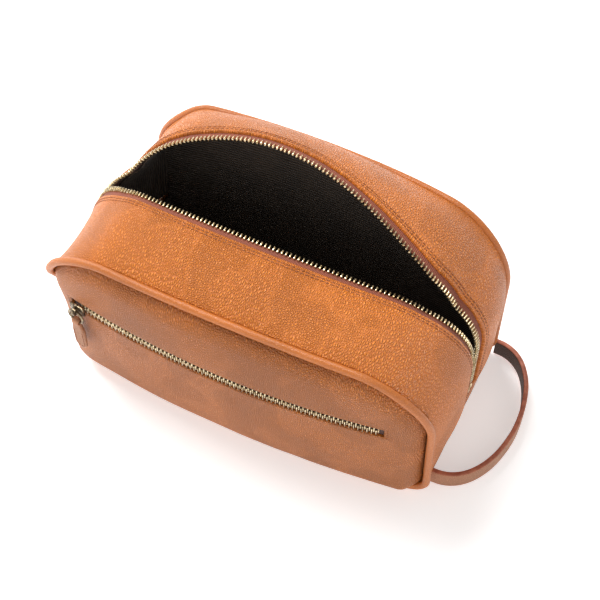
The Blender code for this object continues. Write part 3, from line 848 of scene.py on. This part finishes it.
def base_band():
    total = SEAM_Z - END_RADIUS + BASE_BEND + BASE_FLAT
    clear = 0.0021
    side_roll = 0.0006
    top_roll = 0.0018
    skin, uv, sink = [], [], []
    for signed in spaced(-total, total, 0.0024):
        way = 1 if signed >= 0 else -1
        run = abs(signed)
        x, z, side_on = base_path(run)
        slant = (front_y(way * x + 0.001, z) - front_y(way * x - 0.001, z)) / 0.002
        front = front_y(way * x, z) + clear * sqrt(1 + slant**2 * (1 - side_on**2))
        back = back_y(way * x, z) - clear
        line, places, drops = [], [], []
        for t in eased(44):
            y = front + (back - front) * t
            line.append(pushed(way * (x + end_bulge(side_on, y, z)), y, z))
            places.append((y, signed + 0.8))
            gap = min(y - front, back - y)
            drop = tuck(gap, side_roll) * min(1.0, z / 0.006)
            drop = max(drop, tuck(total - run, top_roll))
            drop += side_on * soft_dents(y, signed, 11.0, min(gap, total - run), 0.0005)
            drops.append(drop)
        skin.append(line)
        uv.append(places)
        sink.append(drops)
    piece = slab("base_band_leather", skin, uv, LEATHER, to_middle(skin), BODY, sink=sink)
    settle(piece, "body_leather", "root", "base_band")


# Zip band: leather, stitching, tape, teeth and lining on each side of the main zip


def band_columns(step, end=BAND_END):
    return [run / BAND_HALF for run in spaced(-end * BAND_HALF, end * BAND_HALF, step)]


# Creases pressed into the front half of the band: where along it, how they lean, width, depth
CREASES = (
    (-0.034, 0.10, 0.0026, 0.00035),
    (-0.030, 0.22, 0.0022, 0.00030),
    (-0.026, -0.18, 0.0024, 0.00024),
    (-0.041, 0.42, 0.0026, 0.00026),
    (0.012, 0.05, 0.0030, 0.00022),
    (0.019, 0.12, 0.0026, 0.00020),
    (0.034, 0.02, 0.0030, 0.00018),
)


def creases(side, along, reach, far):
    """How deep the creases are at a place on the band, which reaches far metres from the piping."""
    if side > 0:
        return 0.0
    total = 0.0
    middle = far * 0.55
    hold = max(0.0, 1 - ((reach - middle) / (far * 0.45)) ** 2)
    for place, lean, width, depth in CREASES:
        wander = 0.0012 * ripple(reach, place, 2.0, 0.009)
        total += groove(along - place - lean * (reach - middle) - wander, width, depth * hold)
    return total


def of_stretches(kind, half):
    """The CAD nodes of the three stretches that one half of the zip band is made of."""
    return [f"{kind}_{half}_{stretch}" for stretch in ("left", "flap", "right")]


def band_leather(side, half):
    near = 0.0020
    piping_roll = 0.0006
    fold_roll = 0.0009
    end_roll = 0.0018
    skin, uv, sink = [], [], []
    edge_rows = (0.0062, 0.0055, 0.0050, 0.0046, 0.0042, 0.0038, 0.0034, 0.0028, 0.0024, 0.0020)
    edge_rows += (0.0016, 0.0012, 0.0008, 0.0005, 0.00025, 0.0)
    for s in band_columns(0.0021):
        rib = Rib(side, s)
        far = rib.length - TAPE_SHOW
        last = far - edge_rows[0]
        reaches = [near + f for f in FINE_STEPS]
        count = 22
        reaches += [reaches[-1] + (last - reaches[-1]) * k / count for k in range(1, count)]
        reaches += [far - e for e in edge_rows]
        along = s * BAND_HALF
        skin.append([rib.at(r) for r in reaches])
        uv.append([(along + 1.5 * side, r) for r in reaches])
        line = []
        for r in reaches:
            end_gap = (BAND_END - abs(s)) * BAND_HALF
            drop = max(tuck(r - near, piping_roll), tuck(far - r, fold_roll), tuck(end_gap, end_roll))
            for row in STITCH_ROWS:
                drop += groove(far - r - row, *STITCH_FURROW)
            gap = min(r - near, far - r, end_gap)
            drop += soft_dents(along, r, 20.0 + side, gap, 0.0007)
            drop += creases(side, along, r, far)
            line.append(drop)
        sink.append(line)
    piece = slab(f"zip_band_{half}_leather", skin, uv, LEATHER, to_middle(skin), BODY, sink=sink)
    settle(piece, "body_leather", half, *of_stretches("gusset", half))


def facing_out(rib, along, across):
    """Direction square to both, on the outer side of the band."""
    up = along.cross(across).normalized()
    return -up if up.dot(rib.out) < 0 else up


def seam_run(side, end, margin, depth, facing):
    """Points along a seam margin metres from the teeth, depth metres under the band's outer face,
    and the way that its stitches face: outwards where facing is 1, inwards where it is -1."""
    run = []
    for s in band_columns(SEAM_STEP, end):
        rib = Rib(side, s)
        reach = rib.length - margin
        here = rib.at(reach)
        across = (rib.at(reach + 0.001) - here).normalized()
        along = Rib(side, s + 0.001).at(reach) - here
        up = facing_out(rib, along, across)
        run.append((here - up * depth, up * facing))
    return run


def band_stitching(side, half):
    runs = [seam_run(side, 0.985, TAPE_SHOW + row, 0.00012, 1) for row in STITCH_ROWS]
    piece = stitches(f"zip_band_{half}_stitching", runs, THREAD)
    settle(piece, "body_leather", half)


def band_strip(name, side, half, depth, thickness, margins, rows, material, slot, nodes, wave=0.0):
    """Tape or lining of one half of the zip band, between the two margins across each rib."""
    skin, uv, sink = [], [], []
    for s in band_columns(0.0026):
        rib = Rib(side, s)
        low, high = margins(rib.length)
        reaches = [low + (high - low) * t for t in eased(rows)]
        skin.append([rib.at(r) for r in reaches])
        uv.append([(s * BAND_HALF + side, r) for r in reaches])
        line = []
        for r in reaches:
            hold = min(1.0, (r - low) / 0.01, (high - r) / 0.01)
            line.append(wave * hold * ripple(s * BAND_HALF, r, 40.0 + side, 0.025))
        sink.append(line)
    piece = slab(name, skin, uv, thickness, to_middle(skin), material, depth=depth, sink=sink)
    settle(piece, slot, half, *nodes)
    declare_cloth(skin)


TOOTH = (
    (-2.10, 0.30, 0.75, 0.0),
    (-1.90, 0.48, 0.95, 0.0),
    (-0.90, 0.58, 1.10, 0.0),
    (0.20, 0.60, 1.15, 0.0),
    (0.55, 0.70, 1.15, 0.0),
    (1.00, 0.70, 1.08, 0.0),
    (1.32, 0.52, 0.90, 0.0),
    (1.45, 0.22, 0.50, 0.0),
)


def evenly(points, pitch, shift):
    """Index and part for places every pitch metres along a line of points."""
    travel = travelled(points)
    count = int((travel[-1] - shift) / pitch)
    found = []
    k = 0
    for n in range(count + 1):
        want = shift + n * pitch
        while k < len(points) - 2 and travel[k + 1] < want:
            k += 1
        found.append((k, min(1.0, (want - travel[k]) / (travel[k + 1] - travel[k]))))
    return found


def row_of_teeth(side, half):
    samples = [-TEETH_END + 2 * TEETH_END * k / 1200 for k in range(1201)]
    points = [row_point(side, s) for s in samples]
    shape = bmesh.new()
    sections = sized(TOOTH)
    for k, part in evenly(points, TOOTH_PITCH, 0.0 if side < 0 else TOOTH_PITCH / 2):
        s = samples[k] + (samples[k + 1] - samples[k]) * part
        rib = Rib(side, s)
        centre = rib.at(rib.length)
        across = (rib.at(rib.length + 0.0005) - rib.at(rib.length - 0.0015)).normalized()
        along = (points[k + 1] - points[k]).normalized()
        up = facing_out(rib, along, across)
        along = up.cross(across)
        loft(shape, sections, frame_matrix(centre - up * TOOTH_DEPTH, across, along, up))
    piece = finish_mesh(f"zip_teeth_{half}", shape, TEETH, sharp=50.0)
    settle(piece, "zip_metal", half, *of_stretches("zip_teeth", half))


def zip_band():
    for side, half in SIDES:
        band_leather(side, half)
        band_stitching(side, half)
        band_strip(f"zip_tape_{half}", side, half, LEATHER + 0.0001, TAPE,
                   lambda length: (length - 0.013, length - 0.0008), 12, TAPE_CLOTH, "zip_tape",
                   of_stretches("zip_tape", half))
        band_strip(f"zip_band_{half}_lining", side, half, LEATHER + TAPE + 0.0006, CLOTH,
                   lambda length: (0.0020 if side > 0 else 0.0038, length - 0.0062), 24, LINING, "lining",
                   of_stretches("lining", half), wave=-0.0009)
        row_of_teeth(side, half)


def lining_seam():
    """The light stitched line along the lining's fold, below each row of teeth."""
    depth = LEATHER + TAPE + CLOTH + 0.00065
    for side, half in SIDES:
        run = seam_run(side, 0.97, 0.0072, depth, -1)
        piece = stitches(f"zip_band_{half}_lining_stitching", [run], LINING_THREAD)
        settle(piece, "lining", half)


# Lining of the bag's walls and base


def wall_lining(side, half, depth):
    """Front or back lining, which sags in slow waves away from its sewn edges."""
    inset = 0.0012
    sag = 0.0009
    fade = 0.02
    reach = HALF_LENGTH - inset
    columns = [reach * sin(pi / 2 * (k / 44 - 1)) for k in range(89)]
    skin, uv = [], []
    for x in columns:
        low, high = panel_limits(x, inset)
        levels = [low + (high - low) * t for t in eased(40)]
        skin.append([pushed(x, panel_y(side, x, z), z) for z in levels])
        uv.append([(x + 3 * side, z) for z in levels])
    away = straight_in(skin, side)
    wave = np.zeros(np.array(skin).shape[:2])
    for i, x in enumerate(columns):
        for j in range(len(skin[i])):
            z = skin[i][j][2]
            hold = min(1.0, max(0.0, panel_gap(x, z, inset)) / fade)
            wave[i, j] = hold * (sag + sag * ripple(x, z * 0.5, 50.0 + side, 0.028))
    moved = np.array(skin, float)
    moved[..., 1] -= side * wave
    piece = slab(f"lining_{half}_cloth", moved, uv, CLOTH, away, LINING, depth=depth)
    settle(piece, "lining", "front" if side < 0 else "root", f"lining_{half}")
    declare_cloth(moved)


def base_lining():
    below_seam = 0.0004
    from_front = 0.0062
    from_back = 0.0038
    total = SEAM_Z - below_seam - END_RADIUS + BASE_BEND + BASE_FLAT
    skin, uv = [], []
    for signed in spaced(-total, total, 0.0036):
        way = 1 if signed >= 0 else -1
        x, z, side_on = base_path(abs(signed))
        front = front_y(way * x, z) + from_front
        back = back_y(way * x, z) - from_back
        line, places = [], []
        for t in eased(30):
            y = front + (back - front) * t
            lift = 0.0010 * (1 + ripple(signed, y, 60.0, 0.03)) * (1 - side_on)
            line.append(pushed(way * (x + end_bulge(side_on, y, z)), y, z + lift))
            places.append((y, signed + 5.0))
        skin.append(line)
        uv.append(places)
    piece = slab("lining_base_cloth", skin, uv, CLOTH, to_middle(skin), LINING, depth=0.0044)
    settle(piece, "lining", "root", "lining_base")
    declare_cloth(skin)


# Pocket zip


def pocket_strip(name, ends, half_height, drop, depth, thickness, material, slot, node):
    """Tape or bag of the pocket, centred drop metres below its zip."""
    skin, uv = [], []
    for x in spaced(ends[0], ends[1], 0.003):
        levels = [POCKET_Z - drop + half_height * (2 * t - 1) for t in eased(12)]
        skin.append([pushed(x, panel_y(-1, x, z), z) for z in levels])
        uv.append([(x, z + 7.0) for z in levels])
    piece = slab(name, skin, uv, thickness, straight_in(skin, -1), material, depth=depth)
    settle(piece, slot, "front", node)
    declare_cloth(skin)


CHAIN_TOOTH = (
    (-2.70, 0.30, 0.50, 0.0),
    (-2.45, 0.44, 0.78, 0.0),
    (0.20, 0.48, 0.88, 0.0),
    (1.20, 0.54, 0.88, 0.0),
    (2.10, 0.42, 0.66, 0.0),
    (2.35, 0.18, 0.34, 0.0),
)


def pocket_out(x):
    """Outward direction of the front's arc at x."""
    turn = asin(x / FRONT_ARC)
    return Vector((sin(turn), -cos(turn), 0.0))


def pocket_chain():
    """Closed chain: teeth from above and below, in turn, meshing past the middle."""
    shape = bmesh.new()
    sections = sized(CHAIN_TOOTH)
    first, last = POCKET_LEFT + 0.0075, POCKET_RIGHT - 0.0012
    pitch = TOOTH_PITCH / 2
    count = int((last - first) / pitch)
    for n in range(count):
        x = first + n * pitch
        way = 1 if n % 2 else -1
        out = pocket_out(x)
        forward = Vector((0.0, 0.0, float(way)))
        side = out.cross(forward)
        base = Vector((x, panel_y(-1, x, POCKET_Z), POCKET_Z)) - out * 0.0010
        origin = base - forward * 0.0010
        loft(shape, sections, frame_matrix(origin, forward, side, out))
    piece = finish_mesh("pocket_zip_teeth", shape, POCKET_METAL, sharp=50.0)
    settle(piece, "zip_metal", "front", "pocket_chain")


def pocket_tacks():
    """Short rows of thread that close the two ends of the pocket's slot."""
    runs = []
    for x in (POCKET_LEFT - 0.0021, POCKET_RIGHT + 0.0021):
        out = pocket_out(x)
        run = []
        for k in range(9):
            z = POCKET_Z + (k / 4 - 1) * (SLOT_HALF + 0.0016)
            run.append((pushed(x, panel_y(-1, x, z), z) - out * 0.00005, out))
        runs.append(run)
    piece = stitches("pocket_end_stitching", runs, THREAD, length=0.0016, pitch=0.0021)
    settle(piece, "body_leather", "front")


# Sliders and pulls: local X is the eye's axis, local -Y points out of the bag, local Z is up


def rounded(outline, low, high, bevel):
    """Prism across Y of an outline in X and Z, with rounded edges."""
    shape = bmesh.new()
    front = [shape.verts.new((a, low, b)) for a, b in outline]
    back = [shape.verts.new((a, high, b)) for a, b in outline]
    shape.faces.new(front)
    shape.faces.new(list(reversed(back)))
    count = len(outline)
    for i in range(count):
        j = (i + 1) % count
        shape.faces.new((front[i], back[i], back[j], front[j]))
    bmesh.ops.recalc_face_normals(shape, faces=shape.faces)
    rim = [e for e in shape.edges if e.calc_face_angle(0.0) > radians(50)]
    bmesh.ops.bevel(shape, geom=rim, offset=bevel, segments=2, profile=0.6, affect="EDGES")
    return shape


def pipe_along_x(shape, outer, inner, half_width, centre_y):
    """Short pipe with rounded rims."""
    sides = 28
    soften = 0.0003
    profile = (
        (-half_width, inner + soften), (-half_width, outer - soften), (-half_width + soften, outer),
        (half_width - soften, outer), (half_width, outer - soften), (half_width, inner + soften),
        (half_width - soften, inner), (-half_width + soften, inner),
    )
    rings = []
    for x, radius in profile:
        ring = []
        for i in range(sides):
            turn = 2 * pi * i / sides
            ring.append(shape.verts.new((x, centre_y + radius * cos(turn), radius * sin(turn))))
        rings.append(ring)
    bridge(shape, rings, closed=True)


def slider(prefix, place, upright, body):
    """Slider plate with its eye, on a zip that runs up the bag or along it."""
    edge = [(-0.0052, 0.0026), (-0.0046, 0.0032), (0.0010, 0.0042), (0.0046, 0.0042), (0.0052, 0.0036)]
    outline = [(a, -b) for a, b in edge] + list(reversed(edge))
    if upright:
        outline = [(b, a) for a, b in reversed(outline)]
    shape = rounded(outline, -PLATE_STAND - PLATE_THICK, -PLATE_STAND, 0.0004)
    pipe_along_x(shape, 0.0026, 0.0013, 0.0013, -PLATE_STAND - PLATE_THICK - EYE_STAND)
    shape.transform(place)
    piece = finish_mesh(f"{prefix}_zip_slider", shape, PULL_METAL, sharp=40.0)
    settle(piece, "pull_metal", body, f"{prefix}_slider")


def ring(prefix, place, body):
    """The pull ring, of round wire slightly flattened on its faces."""
    shape = bmesh.new()
    around, sides = 56, 14
    rings = []
    for k in range(around):
        turn = 2 * pi * k / around
        loop = []
        for i in range(sides):
            roll = 2 * pi * i / sides
            radius = RING_RADIUS + RING_WIRE * cos(roll)
            y = 0.92 * RING_WIRE * sin(roll)
            loop.append(shape.verts.new((radius * sin(turn), y, radius * cos(turn) - RING_RADIUS)))
        rings.append(loop)
    bridge(shape, rings, closed=True)
    shape.transform(place)
    piece = finish_mesh(f"{prefix}_zip_ring", shape, PULL_METAL, sharp=80.0)
    settle(piece, "pull_metal", body, f"{prefix}_pull_ring")


def tab_half(z):
    """Half width of the leather tab at a depth z below the ring's foot."""
    half = TAB_WIDTH / 2
    neck = 0.0026
    wide = neck + (half - neck) * smooth(TAB_TOP - z, 0.0, 0.009)
    into_end = (TAB_LOW + half) - z
    if into_end > 0:
        wide = min(wide, sqrt(max(0.0, half**2 - into_end**2)))
    return wide


def tab_thick(z):
    """Half thickness of the tab at z: it is thinner towards its end."""
    return TAB_THICK / 2 * (0.72 + 0.28 * min(1.0, (z - TAB_LOW) / TAB_LENGTH))


def tab(prefix, place, body):
    """Doubled leather tab, its strip folded round the ring and its two plies sewn together."""
    levels = [TAB_LOW + TAB_LENGTH * (1 - cos(pi / 2 * k / 34)) for k in range(35)]
    shape = bmesh.new()
    layer = shape.loops.layers.uv.new("UVMap")
    rings = []
    for z in levels:
        wide = max(0.0004, tab_half(z))
        thick = tab_thick(z)
        soft = min(0.0005, wide * 0.5)
        section = [(-wide, 0.0), (-wide, -thick + soft), (-wide + soft, -thick), (-wide * 0.5, -thick)]
        section += [(0.0, -thick), (wide * 0.5, -thick), (wide - soft, -thick), (wide, -thick + soft)]
        section += [(-a, -b) for a, b in section]
        rings.append([shape.verts.new((a, b, z)) for a, b in section])
    bridge(shape, rings)
    shape.faces.new(rings[0])
    shape.faces.new(list(reversed(rings[-1])))
    for face in shape.faces:
        for loop in face.loops:
            loop[layer].uv = (loop.vert.co.x + 0.3 * loop.vert.co.y, loop.vert.co.z)
    pipe_along_x(shape, 0.0024, 0.00135, 0.0024, 0.0)
    shape.transform(place)
    piece = finish_mesh(f"{prefix}_zip_tab", shape, STRAP_SKIN, sharp=70.0)
    settle(piece, "strap_leather", body, f"{prefix}_pull_tab")
    runs = []
    for face in (-1, 1):
        facing = (place.to_3x3() @ Vector((0.0, float(face), 0.0))).normalized()
        run = []
        for way in (-1, 1):
            side_run = []
            for k in range(24):
                z = -0.0100 - (TAB_LENGTH - 0.0105) * k / 23
                x = way * max(0.0, tab_half(z) - 0.0014)
                side_run.append((place @ Vector((x, face * (tab_thick(z) + 0.00002), z)), facing))
            run += side_run if way < 0 else list(reversed(side_run))
        runs.append(run)
    piece = stitches(f"{prefix}_zip_tab_stitching", runs, THREAD, length=0.0014, pitch=0.0021)
    settle(piece, "strap_leather", body)


def pulls():
    eye = Matrix.Translation((0.0, -PLATE_STAND - PLATE_THICK - EYE_STAND, 0.0))
    foot = Matrix.Translation((0.0, 0.0, -2 * RING_RADIUS))
    main = Matrix.Translation(pushed(-HALF_LENGTH - ROW_STAND, 0.0, MAIN_SLIDER_Z))
    main = main @ Matrix.Rotation(-pi / 2 - end_turn(), 4, "Z")
    turn = asin(POCKET_SLIDER_X / FRONT_ARC)
    centre_y = panel_y(-1, 0.0, POCKET_Z) + FRONT_ARC
    pocket = Matrix.Translation((0.0, centre_y, POCKET_Z)) @ Matrix.Rotation(turn, 4, "Z")
    pocket = pocket @ Matrix.Translation((0.0, -FRONT_ARC, 0.0))
    for prefix, place, upright in (("main", main, True), ("pocket", pocket, False)):
        slider(prefix, place, upright, f"{prefix}_slider")
        ring(prefix, place @ eye, f"{prefix}_ring")
        tab(prefix, place @ eye @ foot, f"{prefix}_tab")


# Wrist strap: two plies with painted edges


def strap_point(part):
    turn = pi * part
    x = STRAP_START_X + STRAP_SKEW * part + STRAP_REACH * max(0.0, sin(turn)) ** STRAP_ROUNDNESS
    return Vector((x, STRAP_Y - STRAP_HALF * cos(turn), 0.0))


def strap_strip(name, inner, outer, low, high, material, nodes=()):
    """Band between two offsets from the strap's middle line and two heights."""
    soften = STRAP_SOFTEN
    rings = []
    shape = bmesh.new()
    layer = shape.loops.layers.uv.new("UVMap")
    places = {}
    travel = 0.0
    before = None
    for part in eased(150):
        centre = strap_point(part)
        centre.x -= STRAP_ROOT * max(0.0, 1 - min(part, 1 - part) / 0.02)
        after = strap_point(min(1.0, part + 0.002)) - strap_point(max(0.0, part - 0.002))
        across = Vector((after.y, -after.x, 0.0)).normalized()
        if before is not None:
            travel += (centre - before).length
        before = centre
        levels = [low + soften + (high - low - 2 * soften) * k / 8 for k in range(9)]
        section = [(inner + soften, low)] + [(inner, z) for z in levels] + [(inner + soften, high)]
        section += [(outer - soften, high)] + [(outer, z) for z in reversed(levels)] + [(outer - soften, low)]
        loop = []
        for shift, z in section:
            wave = 0.00012 * ripple(travel, z, 70.0, 0.012)
            point = centre + across * (shift + wave)
            vert = shape.verts.new((point.x, point.y, z))
            places[vert] = (travel, z)
            loop.append(vert)
        rings.append(loop)
    bridge(shape, rings)
    shape.faces.new(rings[0])
    shape.faces.new(list(reversed(rings[-1])))
    lay_uv(shape, layer, places)
    piece = finish_mesh(name, shape, material, sharp=60.0)
    settle(piece, "strap_leather", "strap", *nodes)


def wrist_strap():
    half = STRAP_THICK / 2
    ply_gap = 0.00002
    low, high = STRAP_Z + STRAP_TRIM, STRAP_Z + STRAP_HEIGHT - STRAP_TRIM
    strap_strip("strap_outer_ply", ply_gap, half, low, high, STRAP_SKIN,
                ("wrist_strap", "strap_end_front", "strap_end_back"))
    strap_strip("strap_inner_ply", -half, -ply_gap, low, high, STRAP_BACK)
    for word, bottom in (("upper", high - STRAP_SOFTEN), ("lower", low - STRAP_TRIM)):
        strap_strip(f"strap_{word}_edge", -half + 0.0001, half - 0.0001, bottom, bottom + 0.0007,
                    EDGE_PAINT)


# CAD nodes that keep their own shape


def repaint():
    """Give the kept nodes the materials of their neighbours."""
    kept = {"base_board": BOARD}
    for stop in ("bottom_stop", "top_stop_front", "top_stop_back"):
        kept[f"zip_{stop}"] = TEETH
    for name, material in kept.items():
        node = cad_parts[name]
        node.data.materials.clear()
        node.data.materials.append(material)


# Floor, light and camera


def studio():
    """White floor with a slight glow, a bright surround and two square lamps."""
    bpy.ops.mesh.primitive_plane_add(size=6.0, location=(0.0, 0.0, -0.0002))
    glow = 0.42
    floor = bpy.context.object
    floor.name = "floor"
    paper, tree, shader = start("floor_paper")
    place = add(tree, "ShaderNodeTexCoord").outputs["Object"]
    specks = add(tree, "ShaderNodeTexNoise", {"Vector": place, "Scale": 6.0}).outputs["Fac"]
    tree.links.new(blended(tree, specks, (0.93, 0.93, 0.93), (0.95, 0.95, 0.95)), shader.inputs["Base Color"])
    shader.inputs["Roughness"].default_value = 0.7
    shader.inputs["Emission Color"].default_value = (1.0, 1.0, 1.0, 1.0)
    shader.inputs["Emission Strength"].default_value = glow
    floor.data.materials.append(paper)

    world = bpy.data.worlds.new("studio")
    world.use_nodes = True
    tree = world.node_tree
    way = add(tree, "ShaderNodeTexCoord").outputs["Generated"]
    up = add(tree, "ShaderNodeSeparateXYZ", {0: way}).outputs[2]
    sky = mapped(tree, up, 0.05, 0.80)
    tree.links.new(blended(tree, sky, (1.35, 1.31, 1.28), (0.30, 0.30, 0.30)),
                   tree.nodes["Background"].inputs["Color"])
    tree.nodes["Background"].inputs["Strength"].default_value = 0.95
    bpy.context.scene.world = world

    # Name, place, side in metres and power in watts
    lamps = (
        ("key", (-0.75, 0.35, 1.35), 0.9, 31.0),
        ("fill", (0.35, -1.30, 0.90), 1.0, 3.0),
    )
    for name, place, size, power in lamps:
        data = bpy.data.lights.new(name, "AREA")
        data.shape = "SQUARE"
        data.size = size
        data.energy = power
        lamp = bpy.data.objects.new(name, data)
        lamp.location = place
        lamp.rotation_euler = (Vector((0.0, 0.0, 0.05)) - Vector(place)).to_track_quat("-Z", "Y").to_euler()
        bpy.context.scene.collection.objects.link(lamp)


def camera():
    """The photograph's view, found by fitting the model to the bag's outline."""
    azimuth, elevation, roll = radians(25.21), radians(57.37), radians(0.41)
    distance = 0.91828
    target = Vector((0.01068, 0.00688, 0.05042))
    back = Vector((sin(azimuth) * cos(elevation), -cos(azimuth) * cos(elevation), sin(elevation)))
    right = Vector((cos(azimuth), sin(azimuth), 0.0))
    up = back.cross(right)
    local_x = right * cos(roll) + up * sin(roll)
    local_y = up * cos(roll) - right * sin(roll)
    data = bpy.data.cameras.new("camera")
    data.sensor_width = 36.0
    data.lens = 88.8
    data.shift_x = -0.0037
    data.shift_y = 0.0024
    data.clip_start = 0.05
    made = bpy.data.objects.new("camera", data)
    made.matrix_world = frame_matrix(target + back * distance, local_x, local_y, back)
    bpy.context.scene.collection.objects.link(made)
    bpy.context.scene.camera = made
    bpy.context.scene.view_settings.view_transform = "Standard"


camera()
studio()
front_panel()
back_panel()
piping(-1, "front")
piping(1, "back")
base_band()
zip_band()
lining_seam()
wall_lining(-1, "front", 0.0046)
wall_lining(1, "back", 0.0024)
base_lining()
# Pocket tape in the darkened tape colour, which paints the slot's shade into it
pocket_strip("pocket_zip_tape_painted_shade", (POCKET_LEFT - 0.005, POCKET_RIGHT + 0.005), 0.011, 0.0,
             LEATHER + 0.0001, TAPE, POCKET_TAPE_PAINTED_SHADE, "zip_tape", "pocket_tape")
pocket_strip("pocket_bag_cloth", (POCKET_LEFT, POCKET_RIGHT), 0.029, 0.029,
             LEATHER + TAPE + 0.0006, CLOTH, LINING, "lining", "pocket_bag")
pocket_chain()
pocket_tacks()
pulls()
wrist_strap()
repaint()
